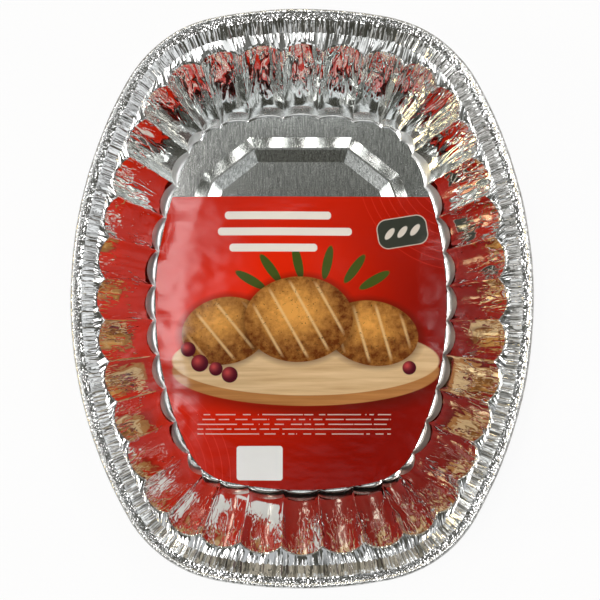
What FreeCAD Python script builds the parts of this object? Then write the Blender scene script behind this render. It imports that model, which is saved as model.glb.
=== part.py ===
import FreeCAD, Part
import math
import os
import Sketcher
from FreeCAD import Placement, Rotation, Vector

# An oval foil roasting pan, pressed from one sheet, with a loose paper label lying in it.
# The origin is on the table, under the middle of the floor. Y runs along the pan and Z is up.

# Driving dimensions in millimetres, with what each one is
sizes = {
    "foil": (0.15, "thickness of the sheet"),
    "rim_length": (457.0, "whole length over the rolled bead"),
    "rim_width": (365.5, "whole width over the rolled bead"),
    "rim_side_radius": (350.0, "rim outline along a long side"),
    "rim_corner_radius": (102.0, "rim outline round a corner"),
    "rim_end_radius": (362.0, "rim outline across an end"),
    "rim_height": (78.0, "table to the top of the bead"),
    "bead_radius": (2.1, "outside of the rolled bead"),
    "bead_turn": (315.0, "degrees of roll, from the crease to the cut edge"),
    "bead_bends": (7.0, "flats that the roll is bent in"),
    "land_drop": (1.0, "top of the bead down to the flat land beside it"),
    "land_width": (8.7, "outline in to the inner edge of the land"),
    "riser_width": (9.1, "width of the pleated slope in plan"),
    "ledge_height": (71.5, "table to the ledge at the top of the wall"),
    "pleats": (288.0, "pleats round the sloping riser"),
    "pleat_depth": (1.4, "how far a pleat's foot stands back"),
    "wall_length": (406.8, "wall top over the crests of the end flutes"),
    "wall_width": (326.6, "wall top over the crests of the side flutes"),
    "wall_side_radius": (335.0, "wall top along a long side"),
    "wall_corner_radius": (80.0, "wall top round a corner"),
    "wall_end_radius": (332.0, "wall top across an end"),
    "wall_lean": (28.8, "how far the wall leans out from foot to top"),
    "flutes": (36.0, "flutes round the wall"),
    "flute_panels": (6.0, "creased panels in each flute"),
    "wall_flute_depth": (6.3, "crest to cusp at the top of the wall"),
    "foot_flute_depth": (6.0, "crest to cusp at the foot of the wall"),
    "foot_height": (7.0, "table to the foot of the wall"),
    "floor_length": (332.0, "floor over the crests of the end flutes"),
    "floor_width": (260.6, "floor over the crests of the side flutes"),
    "floor_side_radius": (300.0, "floor edge along a long side"),
    "floor_corner_radius": (52.0, "floor edge round a corner"),
    "floor_end_radius": (310.0, "floor edge across an end"),
    "floor_flute_depth": (3.0, "crest to cusp at the edge of the floor"),
    "rib_end": (134.5, "middle of the floor to the rib across an end"),
    "rib_end_half": (41.0, "half the straight run of the rib across an end"),
    "rib_shoulder_along": (105.8, "shoulder of the rib, along the pan"),
    "rib_shoulder_across": (77.3, "shoulder of the rib, across the pan"),
    "rib_side": (99.5, "middle of the floor to the rib along a side"),
    "rib_side_half": (48.0, "half the straight run of the rib along a side"),
    "rib_height": (3.5, "floor to the top of the rib"),
    "rib_top": (1.8, "flat top of the rib"),
    "rib_outer_slope": (9.6, "outer slope of the rib in plan"),
    "rib_inner_slope": (10.2, "inner slope of the rib in plan"),
    "label_thickness": (0.3, "thickness of the paper label"),
    "label_gap": (3.7, "crests of the floor edge in to the label"),
    "label_head": (92.5, "middle of the floor to the label's straight edge"),
}

doc = FreeCAD.newDocument("foil_roasting_pan")
sheet = doc.addObject("Spreadsheet::Sheet", "Sizes")
for row, (name, (value, meaning)) in enumerate(sizes.items(), start=1):
    sheet.set("A%d" % row, name)
    sheet.set("B%d" % row, str(value))
    sheet.set("C%d" % row, meaning)
    sheet.setAlias("B%d" % row, name)
doc.recompute()


def size(name):
    return float(sheet.get(name))


# Plane geometry

def polar(centre, reach, turn, level=0.0):
    return Vector(centre.x + reach * math.cos(turn), centre.y + reach * math.sin(turn), level)


def flat_distance(first, second):
    return math.hypot(first.x - second.x, first.y - second.y)


def meet(first, first_radius, second, second_radius, near):
    # where two circles cross, on the side of the given point
    line = second - first
    apart = math.hypot(line.x, line.y)
    along = (first_radius ** 2 - second_radius ** 2 + apart ** 2) / (2 * apart)
    across = math.sqrt(first_radius ** 2 - along ** 2)
    middle = first + line * (along / apart)
    step = Vector(-line.y, line.x, 0) * (across / apart)
    return min(middle + step, middle - step, key=lambda point: flat_distance(point, near))


def mirror_turn(turn, quarter):
    # a direction in the first quarter, carried to another quarter
    carried = (turn, math.pi - turn, math.pi + turn, 2 * math.pi - turn)
    return carried[quarter]


class Oval:
    # side, corner and end arcs that share their centres, so every inset of it is parallel

    def __init__(self, name):
        half_width = size(name + "_width") / 2
        half_length = size(name + "_length") / 2
        side_radius = size(name + "_side_radius")
        corner_radius = size(name + "_corner_radius")
        end_radius = size(name + "_end_radius")
        side = Vector(half_width - side_radius, 0, 0)
        end = Vector(0, half_length - end_radius, 0)
        outer = Vector(half_width, half_length, 0)
        corner = meet(side, side_radius - corner_radius, end, end_radius - corner_radius, outer)
        side_turn = math.atan2(corner.y - side.y, corner.x - side.x)
        end_turn = math.atan2(corner.y - end.y, corner.x - end.x)
        first_quarter = (
            (0.0, side_turn, side, side_radius),
            (side_turn, end_turn, corner, corner_radius),
            (end_turn, math.pi / 2, end, end_radius),
        )
        self.arcs = []
        for quarter in range(4):
            flip_x = -1 if quarter in (1, 2) else 1
            flip_y = -1 if quarter in (2, 3) else 1
            for first, last, centre, radius in first_quarter:
                start, stop = sorted((mirror_turn(first, quarter), mirror_turn(last, quarter)))
                placed = Vector(centre.x * flip_x, centre.y * flip_y, 0)
                self.arcs.append((start, stop, placed, radius))
        self.arcs.sort(key=lambda arc: arc[0])
        self.length = sum(radius * (stop - start) for start, stop, centre, radius in self.arcs)

    def turn_at(self, share):
        # direction of the outward normal at a share of the way round from the +X side
        left = (share % 1.0) * self.length
        for start, stop, centre, radius in self.arcs:
            if left <= radius * (stop - start):
                return start + left / radius
            left -= radius * (stop - start)
        return 2 * math.pi

    def point(self, turn, inset, level=0.0):
        # the point with this outward normal, moved in by the inset
        around = turn % (2 * math.pi)
        for start, stop, centre, radius in self.arcs:
            if start <= around <= stop:
                return polar(centre, radius - inset, turn, level)
        raise ValueError("no arc of the oval faces that way")

    def edges(self, inset, level):
        outline = []
        for start, stop, centre, radius in self.arcs:
            middle = (start + stop) / 2
            points = [polar(centre, radius - inset, turn, level) for turn in (start, middle, stop)]
            outline.append(Part.Arc(*points).toShape())
        return outline


# The closed lines that the sheet is bent along, as points at one level

def flute_line(flutes, grow, level):
    # the creases of every flute: points spaced evenly on its arc, cusp to cusp, which is
    # first grown outwards by a width, the same for all the flutes
    circles = []
    for cusp_before, crest, cusp_after in flutes:
        circle = Part.Arc(cusp_before, crest, cusp_after).toShape().Curve
        circles.append((circle.Center, circle.Radius + grow))
    panels = int(size("flute_panels"))
    points = []
    for number, (cusp_before, crest, cusp_after) in enumerate(flutes):
        centre, radius = circles[number]
        before = meet(centre, radius, *circles[number - 1], cusp_before)
        after = meet(centre, radius, *circles[(number + 1) % len(flutes)], cusp_after)
        first = math.atan2(before.y - centre.y, before.x - centre.x)
        sweep = (math.atan2(after.y - centre.y, after.x - centre.x) - first) % (2 * math.pi)
        for panel in range(panels):
            points.append(polar(centre, radius, first + sweep * panel / panels, level))
    return points


def flute_points(oval, crest_inset, depth, turns):
    # cusp, crest, cusp of each flute; turns holds the directions of the crests and the cusps
    crest_turns, cusp_turns = turns
    flutes = []
    for number, crest_turn in enumerate(crest_turns):
        before = oval.point(cusp_turns[number - 1], crest_inset + depth)
        crest = oval.point(crest_turn, crest_inset)
        after = oval.point(cusp_turns[number], crest_inset + depth)
        flutes.append((before, crest, after))
    return flutes


def even_line(oval, count, insets, level):
    # points spaced evenly round an oval, at each of the insets in turn
    points = []
    for number in range(count):
        turn = oval.turn_at(number / count)
        points.append(oval.point(turn, insets[number % len(insets)], level))
    return points


def rib_line(outwards, level):
    # the twelve corners of the rib, moved outwards from the middle of its flat top
    quarter = [
        Vector(size("rib_side"), size("rib_side_half"), 0),
        Vector(size("rib_shoulder_across"), size("rib_shoulder_along"), 0),
        Vector(size("rib_end_half"), size("rib_end"), 0),
    ]
    corners = list(quarter)
    corners += [Vector(-point.x, point.y, 0) for point in reversed(quarter)]
    corners += [Vector(-point.x, -point.y, 0) for point in quarter]
    corners += [Vector(point.x, -point.y, 0) for point in reversed(quarter)]
    points = []
    for number, corner in enumerate(corners):
        before = corner - corners[number - 1]
        after = corners[(number + 1) % len(corners)] - corner
        turn_before = math.atan2(before.y, before.x)
        bend = (math.atan2(after.y, after.x) - turn_before) % (2 * math.pi)
        mitre = turn_before + bend / 2 - math.pi / 2
        points.append(polar(corner, outwards / math.cos(bend / 2), mitre, level))
    return points


def joined(points):
    return Part.Wire([Part.LineSegment(*pair).toShape() for pair in pairs(points)])


def pairs(points):
    return list(zip(points, points[1:] + points[:1]))


# Faces between those lines

def flat_face(outer_wire, inner_wire=None):
    wires = [outer_wire, inner_wire] if inner_wire else [outer_wire]
    return [Part.makeFace(wires, "Part::FaceMakerBullseye")]


def panel(*corners):
    return Part.Face(Part.makePolygon(list(corners) + [corners[0]]))


def band_faces(lower, upper):
    # a panel between each pair of neighbours, folded along its shorter diagonal if it isn't flat
    faces = []
    for (low, next_low), (high, next_high) in zip(pairs(lower), pairs(upper)):
        normal = (next_low - low).cross(high - low).normalize()
        if abs(normal.dot(next_high - low)) < 1e-7:
            faces.append(panel(low, next_low, next_high, high))
        elif (next_high - low).Length < (next_low - high).Length:
            faces += [panel(low, next_low, next_high), panel(low, next_high, high)]
        else:
            faces += [panel(low, next_low, high), panel(next_low, next_high, high)]
    return faces


def dart_faces(foot, head):
    # pleats: three folds from each straight stretch of the head down to two of the foot
    faces = []
    for number, (start, stop) in enumerate(pairs(head)):
        valley = foot[2 * number + 1]
        faces.append(panel(start, valley, stop))
        faces.append(panel(start, foot[2 * number], valley))
        faces.append(panel(stop, valley, foot[(2 * number + 2) % len(foot)]))
    return faces


def turned_faces(oval, section_edges):
    # section edges lie in the XZ plane with X as the inset, and follow the oval round
    origin = Vector(0, 0, 0)
    upright = Vector(0, 0, 1)
    faces = []
    for start, stop, centre, radius in oval.arcs:
        for section in section_edges:
            placed = section.copy()
            placed.rotate(origin, upright, 180)
            placed.translate(Vector(radius, 0, 0))
            placed.rotate(origin, upright, math.degrees(start))
            placed.translate(centre)
            faces.append(placed.revolve(centre, upright, math.degrees(stop - start)))
    return faces


# The section of the sheet, from the middle of the floor out to the rolled bead

def mitred_underside(section, thickness):
    # the same bends on the underside of the sheet
    slopes = [math.atan2(b[1] - a[1], b[0] - a[0]) for a, b in pairs(section)[:-1]]
    under = []
    for number, (reach, level) in enumerate(section):
        before = slopes[max(number - 1, 0)]
        after = slopes[min(number, len(slopes) - 1)]
        middle = (before + after) / 2
        mitre = thickness / math.cos((after - before) / 2)
        under.append((reach + mitre * math.sin(middle), level - mitre * math.cos(middle)))
    return under


def sheet_section():
    # reach from the middle along +X, and level, of each bend: upper side, then underside
    foil = size("foil")
    rib = size("rib_side")
    half_top = size("rib_top") / 2
    rib_level = foil + size("rib_height")
    wall = size("wall_width") / 2
    outline = size("rim_width") / 2
    land = size("rim_height") - size("land_drop")
    upper = {
        "middle": (0.0, foil),
        "rib inner foot": (rib - half_top - size("rib_inner_slope"), foil),
        "rib inner edge": (rib - half_top, rib_level),
        "rib outer edge": (rib + half_top, rib_level),
        "rib outer foot": (rib + half_top + size("rib_outer_slope"), foil),
        "floor edge": (size("floor_width") / 2, foil),
        "wall foot": (wall - size("wall_lean"), size("foot_height")),
        "wall top": (wall, size("ledge_height")),
        "riser foot": (outline - size("land_width") - size("riser_width"), size("ledge_height")),
        "land edge": (outline - size("land_width"), land),
        "outline": (outline, land),
    }
    under = dict(zip(upper, mitred_underside(list(upper.values()), foil)))
    return upper, under


def bead_section():
    # the roll, bent in flats, as points (inset, 0, level) from the crease: outside, then inside
    land = size("rim_height") - size("land_drop")
    radius = size("bead_radius")
    middle = size("rim_height") - radius
    bends = int(size("bead_bends"))
    first = math.asin((land - middle) / radius)
    rolls = []
    for reach, crease_level in ((radius, land), (radius - size("foil"), land - size("foil"))):
        lift = crease_level - middle
        points = [Vector(radius + math.sqrt(reach ** 2 - lift ** 2), 0, crease_level)]
        for bend in range(1, bends + 1):
            turn = first + math.radians(size("bead_turn")) * bend / bends
            points.append(Vector(radius + reach * math.cos(turn), 0, middle + reach * math.sin(turn)))
        rolls.append(points)
    return rolls


# The pan

def skin_faces(bends, reference, roll, turns):
    # every face of one side of the sheet; reference is the upper side, which sets the flutes
    rim = Oval("rim")
    wall = Oval("wall")
    floor = Oval("floor")
    outline = size("rim_width") / 2
    pleats = int(size("pleats"))

    rib = {}
    for name in ("rib inner foot", "rib inner edge", "rib outer edge", "rib outer foot"):
        reach, level = bends[name]
        rib[name] = rib_line(reach - size("rib_side"), level)

    fluted = {}
    for name, oval, inset, depth in (
        ("floor edge", floor, 0.0, size("floor_flute_depth")),
        ("wall foot", wall, size("wall_lean"), size("foot_flute_depth")),
        ("wall top", wall, 0.0, size("wall_flute_depth")),
    ):
        reach, level = bends[name]
        grow = reach - reference[name][0]
        fluted[name] = flute_line(flute_points(oval, inset, depth, turns), grow, level)

    reach, level = bends["riser foot"]
    inset = outline - reach
    riser_foot = even_line(rim, 2 * pleats, (inset, inset - size("pleat_depth")), level)
    reach, level = bends["land edge"]
    land_edge = even_line(rim, pleats, (outline - reach,), level)
    crease = Part.Wire(rim.edges(roll[0].x, roll[0].z))

    faces = flat_face(joined(rib["rib inner foot"]))
    faces += band_faces(rib["rib inner foot"], rib["rib inner edge"])
    faces += flat_face(joined(rib["rib outer edge"]), joined(rib["rib inner edge"]))
    faces += band_faces(rib["rib outer edge"], rib["rib outer foot"])
    faces += flat_face(joined(fluted["floor edge"]), joined(rib["rib outer foot"]))
    faces += band_faces(fluted["floor edge"], fluted["wall foot"])
    faces += band_faces(fluted["wall foot"], fluted["wall top"])
    faces += flat_face(joined(riser_foot), joined(fluted["wall top"]))
    faces += dart_faces(riser_foot, land_edge)
    faces += flat_face(crease, joined(land_edge))
    faces += turned_faces(rim, [Part.LineSegment(*pair).toShape() for pair in zip(roll, roll[1:])])
    return faces


def pan_shape():
    wall = Oval("wall")
    flutes = int(size("flutes"))
    crest_turns = [wall.turn_at(number / flutes) for number in range(flutes)]
    cusp_turns = [wall.turn_at((number + 0.5) / flutes) for number in range(flutes)]
    turns = (crest_turns, cusp_turns)
    upper, under = sheet_section()
    outside, inside = bead_section()
    faces = skin_faces(upper, upper, outside, turns)
    faces += skin_faces(under, upper, inside, turns)
    faces += turned_faces(Oval("rim"), [Part.LineSegment(outside[-1], inside[-1]).toShape()])
    sheet_metal = Part.Compound(faces)
    sheet_metal.sewShape()
    solid = Part.Solid(sheet_metal.Shells[0])
    if solid.Volume < 0:
        solid.reverse()
    return solid


pan = doc.addObject("Part::Feature", "FoilPan")
pan.Label = "foil_pan"
pan.Shape = pan_shape()
pan.Placement = Placement(Vector(0, 0, 0), Rotation())


# The label: a sheet of paper cut to the outline of the floor, with a straight head

def arc_of(centre, radius, start, stop):
    return Part.ArcOfCircle(Part.Circle(centre, Vector(0, 0, 1), radius), start, stop)


def draw_label(sketch):
    # the outline as first drawn; the constraints then tie it to the sheet of sizes
    gap = size("label_gap")
    head = size("label_head")
    floor_arcs = Oval("floor").arcs
    head_turn = math.asin(head / (size("floor_side_radius") - gap))
    left, left_corner, end, right_corner, right = [floor_arcs[number] for number in (6, 7, 8, 10, 11)]
    for start, stop, centre, radius in (
        (math.pi - head_turn, left[1], left[2], left[3]),
        left_corner,
        (end[0], 3 * math.pi - end[0], end[2], end[3]),
        right_corner,
        (right[0], 2 * math.pi + head_turn, right[2], right[3]),
    ):
        sketch.addGeometry(arc_of(centre, radius - gap, start, stop), False)
    right_end = polar(right[2], right[3] - gap, head_turn)
    left_end = Vector(-right_end.x, right_end.y, 0)
    sketch.addGeometry(Part.LineSegment(right_end, left_end), False)


def constrain_label(sketch):
    # points of an arc are 1 start, 2 stop and 3 centre; -1 is the X axis and -2 the Y axis
    left, left_corner, end, right_corner, right, head = range(6)
    arcs = (left, left_corner, end, right_corner, right)
    for before, after in zip(arcs, arcs[1:]):
        sketch.addConstraint(Sketcher.Constraint("Tangent", before, 2, after, 1))
    sketch.addConstraint([
        Sketcher.Constraint("Coincident", right, 2, head, 1),
        Sketcher.Constraint("Coincident", head, 2, left, 1),
        Sketcher.Constraint("Horizontal", head),
        Sketcher.Constraint("PointOnObject", left, 3, -1),
        Sketcher.Constraint("PointOnObject", right, 3, -1),
        Sketcher.Constraint("PointOnObject", end, 3, -2),
        Sketcher.Constraint("Equal", left, right),
        Sketcher.Constraint("Equal", left_corner, right_corner),
    ])
    side_offset = size("floor_side_radius") - size("floor_width") / 2
    end_offset = size("floor_end_radius") - size("floor_length") / 2
    gap = size("label_gap")
    for name, constraint, expression in (
        ("side_radius", Sketcher.Constraint("Radius", left, size("floor_side_radius") - gap),
         "Sizes.floor_side_radius - Sizes.label_gap"),
        ("corner_radius", Sketcher.Constraint("Radius", left_corner, size("floor_corner_radius") - gap),
         "Sizes.floor_corner_radius - Sizes.label_gap"),
        ("end_radius", Sketcher.Constraint("Radius", end, size("floor_end_radius") - gap),
         "Sizes.floor_end_radius - Sizes.label_gap"),
        ("left_centre", Sketcher.Constraint("DistanceX", -1, 1, left, 3, side_offset),
         "Sizes.floor_side_radius - Sizes.floor_width / 2"),
        ("right_centre", Sketcher.Constraint("DistanceX", right, 3, -1, 1, side_offset),
         "Sizes.floor_side_radius - Sizes.floor_width / 2"),
        ("end_centre", Sketcher.Constraint("DistanceY", -1, 1, end, 3, end_offset),
         "Sizes.floor_end_radius - Sizes.floor_length / 2"),
        ("head", Sketcher.Constraint("DistanceY", -1, 1, head, 1, size("label_head")),
         "Sizes.label_head"),
    ):
        number = sketch.addConstraint(constraint)
        sketch.renameConstraint(number, name)
        sketch.setExpression("Constraints." + name, expression)


def make_label():
    body = doc.addObject("PartDesign::Body", "PaperLabel")
    body.Label = "paper_label"
    plane = [item for item in body.Origin.OriginFeatures if item.Role == "XY_Plane"][0]
    sketch = body.newObject("Sketcher::SketchObject", "LabelOutline")
    sketch.AttachmentSupport = [(plane, "")]
    sketch.MapMode = "FlatFace"
    draw_label(sketch)
    constrain_label(sketch)
    pad = body.newObject("PartDesign::Pad", "LabelSheet")
    pad.Profile = sketch
    pad.setExpression("Length", "Sizes.label_thickness")
    body.Tip = pad
    # it lies on the flat top of the rib
    body.setExpression("Placement.Base.z", "Sizes.foil + Sizes.rib_height")
    return body


label = make_label()
doc.recompute()

# Every object and shape is sound before anything is written

for item in doc.Objects:
    if "Invalid" in item.State or "Error" in item.State:
        raise RuntimeError("%s failed to recompute: %s" % (item.Label, item.State))
for piece in (pan, label):
    if piece.Shape.isNull() or not piece.Shape.isValid():
        raise RuntimeError("%s has no valid shape" % piece.Label)

os.makedirs("parts", exist_ok=True)
for piece in (pan, label):
    piece.Shape.exportStep("parts/%s.step" % piece.Label)
    print("%s: %.2f cubic centimetres" % (piece.Label, piece.Shape.Volume / 1000))
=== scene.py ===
from math import asin, atan2, cos, hypot, pi, radians, sin, sqrt

import bpy
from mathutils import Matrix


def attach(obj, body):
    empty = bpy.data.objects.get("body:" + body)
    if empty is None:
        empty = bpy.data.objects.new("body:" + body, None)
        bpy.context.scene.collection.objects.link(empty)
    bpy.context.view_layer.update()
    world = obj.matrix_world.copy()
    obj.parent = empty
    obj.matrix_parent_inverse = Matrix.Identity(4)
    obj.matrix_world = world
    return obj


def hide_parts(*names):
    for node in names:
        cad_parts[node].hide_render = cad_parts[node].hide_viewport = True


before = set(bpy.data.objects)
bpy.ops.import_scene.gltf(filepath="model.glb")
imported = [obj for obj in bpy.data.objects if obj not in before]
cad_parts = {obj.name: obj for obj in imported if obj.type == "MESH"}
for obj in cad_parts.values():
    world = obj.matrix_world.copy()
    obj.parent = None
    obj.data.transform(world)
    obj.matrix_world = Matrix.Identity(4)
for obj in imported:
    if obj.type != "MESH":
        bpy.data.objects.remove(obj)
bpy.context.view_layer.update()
mm = 0.001
mergeWithin = 0.01 * mm


class Sock:
    # a socket that can stand in a sum; graph is the tree it belongs to
    def __init__(self, graph, socket):
        self.graph = graph
        self.socket = socket

    def __add__(self, other): return self.graph.math("ADD", self, other)
    def __radd__(self, other): return self.graph.math("ADD", other, self)
    def __sub__(self, other): return self.graph.math("SUBTRACT", self, other)
    def __rsub__(self, other): return self.graph.math("SUBTRACT", other, self)
    def __mul__(self, other): return self.graph.math("MULTIPLY", self, other)
    def __rmul__(self, other): return self.graph.math("MULTIPLY", other, self)
    def __truediv__(self, other): return self.graph.math("DIVIDE", self, other)
    def __rtruediv__(self, other): return self.graph.math("DIVIDE", other, self)
    def __mod__(self, other): return self.graph.math("FLOORED_MODULO", self, other)
    def __pow__(self, other): return self.graph.math("POWER", self, other)
    def __abs__(self): return self.graph.math("ABSOLUTE", self)
    def __lt__(self, other): return self.graph.math("LESS_THAN", self, other)
    def __gt__(self, other): return self.graph.math("GREATER_THAN", self, other)


class Graph:
    # adds nodes to one tree and hands back wrapped sockets
    def __init__(self, tree):
        self.tree = tree
        tree.nodes.clear()

    def node(self, kind, settings=None, inputs=None):
        made = self.tree.nodes.new(kind)
        for name, value in (settings or {}).items():
            setattr(made, name, value)
        for name, value in (inputs or {}).items():
            if isinstance(value, Sock):
                self.tree.links.new(value.socket, made.inputs[name])
            else:
                made.inputs[name].default_value = value
        return made

    def take(self, kind, settings=None, inputs=None, out=0):
        return Sock(self, self.node(kind, settings, inputs).outputs[out])

    def math(self, operation, *values):
        return self.take("ShaderNodeMath", {"operation": operation}, dict(enumerate(values)))

    def vector(self, operation, *values):
        return self.take("ShaderNodeVectorMath", {"operation": operation}, dict(enumerate(values)))

    def scale(self, vector, amount):
        return self.take("ShaderNodeVectorMath", {"operation": "SCALE"}, {0: vector, "Scale": amount})

    def join(self, x, y, z):
        return self.take("ShaderNodeCombineXYZ", None, {0: x, 1: y, 2: z})

    def split(self, vector):
        made = self.node("ShaderNodeSeparateXYZ", None, {0: vector})
        return [Sock(self, output) for output in made.outputs]

    def ramp(self, value, start, stop, low=0.0, high=1.0, smooth=False):
        kind = "SMOOTHSTEP" if smooth else "LINEAR"
        return self.take("ShaderNodeMapRange", {"interpolation_type": kind},
                         {"Value": value, 1: start, 2: stop, 3: low, 4: high})

    def between(self, value, start, rise, fall, stop):
        # 0 up to the start, 1 from the rise to the fall, and 0 again from the stop
        return self.ramp(value, start, rise) * self.ramp(value, fall, stop, 1.0, 0.0)

    def blend(self, factor, first, second):
        return self.take("ShaderNodeMix", {"data_type": "VECTOR"}, {0: factor, 4: first, 5: second}, 1)

    def tint(self, factor, first, second):
        return self.take("ShaderNodeMix", {"data_type": "RGBA"}, {0: factor, 6: first, 7: second}, 2)

    def noise(self, where, scale, detail=2.0, roughness=0.5):
        return self.take("ShaderNodeTexNoise", None,
                         {"Vector": where, "Scale": scale, "Detail": detail, "Roughness": roughness})

    def ridge(self, field, sharpness):
        # 1 along the lines where a noise crosses its middle, falling to 0 beside them
        return self.math("MAXIMUM", 1.0 - abs(field - 0.5) * sharpness, 0.0)

    def wave(self, phase):
        # 0 at whole phases, 1 halfway between, straight lines between those
        return 1.0 - abs((phase % 1.0) * 2.0 - 1.0)


# The ovals of the pan: side, corner and end arcs that share their centres

def ovalOf(halfWidth, halfLength, sideRadius, cornerRadius, endRadius):
    sideX = halfWidth - sideRadius
    endY = halfLength - endRadius
    first = sideRadius - cornerRadius
    second = endRadius - cornerRadius
    apart = hypot(sideX, endY)
    along = (first ** 2 - second ** 2 + apart ** 2) / (2 * apart)
    across = sqrt(first ** 2 - along ** 2)
    ux, uy = -sideX / apart, endY / apart
    cornerX = sideX + ux * along + uy * across
    cornerY = uy * along - ux * across
    other = (sideX + ux * along - uy * across, uy * along + ux * across)
    if sum(other) > cornerX + cornerY:
        cornerX, cornerY = other
    return {
        "sideX": sideX, "endY": endY, "cornerX": cornerX, "cornerY": cornerY,
        "sideRadius": sideRadius, "cornerRadius": cornerRadius, "endRadius": endRadius,
        "sideTurn": atan2(cornerY, cornerX - sideX),
        "endTurn": atan2(cornerY - endY, cornerX),
    }


def foldAt(g, oval, quarter):
    # direction of the outward normal, folded into one quarter, at a share of that quarter's length
    runs = (
        (oval["sideRadius"], oval["sideTurn"]),
        (oval["cornerRadius"], oval["endTurn"] - oval["sideTurn"]),
        (oval["endRadius"], pi / 2 - oval["endTurn"]),
    )
    whole = sum(radius * turn for radius, turn in runs)
    start = 0.0
    fold = 0.0
    for radius, turn in runs:
        stop = start + radius * turn / whole
        fold = g.ramp(quarter, start, stop, 0.0, turn) + fold
        start = stop
    return fold


def ovalPoint(g, oval, fold, facing, inset):
    # the point whose normal has that folded direction, moved in by the inset
    cosine, sine = facing
    isSide = fold < oval["sideTurn"]
    isEnd = fold > oval["endTurn"]
    isCorner = 1.0 - isSide - isEnd
    reach = isSide * oval["sideRadius"] + isEnd * oval["endRadius"] + isCorner * oval["cornerRadius"] - inset
    x = (isSide * oval["sideX"] + isCorner * oval["cornerX"]) * g.math("SIGN", cosine) + reach * cosine
    y = (isEnd * oval["endY"] + isCorner * oval["cornerY"]) * g.math("SIGN", sine) + reach * sine
    return x, y


def quarterOf(g, share):
    # which quarter a share of the way round is in, and how far through it, measured from the X axis
    quarter = g.math("FLOOR", share * 4.0 + 1e-5)
    through = share * 4.0 - quarter
    odd = quarter % 2.0
    return quarter + odd, odd, through + odd * (1.0 - 2.0 * through)


def facingOf(g, quarter, odd, fold):
    turn = quarter * (pi / 2) + fold * (1.0 - 2.0 * odd)
    return g.math("COSINE", turn), g.math("SINE", turn)


def gridShares(g, columns, rows):
    # a flat grid, with the share of the way round and the row of each point as fields
    grid = g.take("GeometryNodeMeshGrid", None, {
        "Size X": 1.0, "Size Y": 1.0, "Vertices X": columns + 1, "Vertices Y": rows + 1})
    x, y = g.split(g.take("GeometryNodeInputPosition"))[:2]
    return grid, x + 0.5, (y + 0.5) * float(rows)


def startTree(name, sizes):
    # a geometry tree with a named input for each size that may be changed on the modifier
    tree = bpy.data.node_groups.new(name, "GeometryNodeTree")
    tree.is_modifier = True
    tree.interface.new_socket("Geometry", in_out="INPUT", socket_type="NodeSocketGeometry")
    for label, value in sizes.items():
        kind = "NodeSocketMaterial" if isinstance(value, bpy.types.Material) else "NodeSocketFloat"
        tree.interface.new_socket(label, in_out="INPUT", socket_type=kind)
    tree.interface.new_socket("Geometry", in_out="OUTPUT", socket_type="NodeSocketGeometry")
    g = Graph(tree)
    given = g.node("NodeGroupInput")
    return tree, g, {label: Sock(g, given.outputs[label]) for label in sizes}


def endTree(g, made, material):
    made = g.take("GeometryNodeRealizeInstances", None, {"Geometry": made})
    made = g.take("GeometryNodeSetMaterial", None, {"Geometry": made, "Material": material})
    g.node("NodeGroupOutput", None, {0: made})


def store(g, made, name, value, kind="FLOAT"):
    return g.take("GeometryNodeStoreNamedAttribute", {"data_type": kind, "domain": "POINT"},
                  {"Geometry": made, "Name": name, "Value": value})


def stored(g, name, kind="FLOAT"):
    return g.take("GeometryNodeInputNamedAttribute", {"data_type": kind}, {"Name": name})


def runTree(tree, name, sizes, sheetThickness):
    # puts the tree on an empty mesh, sets its inputs and returns the plain mesh that comes out
    base = bpy.data.objects.new(name + "Base", bpy.data.meshes.new(name + "Base"))
    bpy.context.scene.collection.objects.link(base)
    modifier = base.modifiers.new(name, "NODES")
    modifier.node_group = tree
    for item in tree.interface.items_tree:
        if item.item_type == "SOCKET" and item.in_out == "INPUT" and item.name in sizes:
            modifier[item.identifier] = sizes[item.name]
    solid = base.modifiers.new("thickness", "SOLIDIFY")
    solid.thickness = sheetThickness
    solid.offset = -1.0
    solid.use_even_offset = False
    bpy.context.view_layer.update()
    made = base.evaluated_get(bpy.context.evaluated_depsgraph_get())
    mesh = bpy.data.meshes.new_from_object(made)
    piece = bpy.data.objects.new(name, mesh)
    bpy.context.scene.collection.objects.link(piece)
    bpy.data.objects.remove(base)
    print(name, "has", len(mesh.polygons), "faces")
    return piece


def newMaterial(name):
    material = bpy.data.materials.new(name)
    material.use_nodes = True
    return material, Graph(material.node_tree)


def endMaterial(g, material, inputs):
    # ends a material's tree in one plain shader
    shader = g.take("ShaderNodeBsdfPrincipled", None, inputs)
    g.node("ShaderNodeOutputMaterial", None, {0: shader})
    return material


# The pan. Sizes in millimetres are those of the pressed sheet

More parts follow.
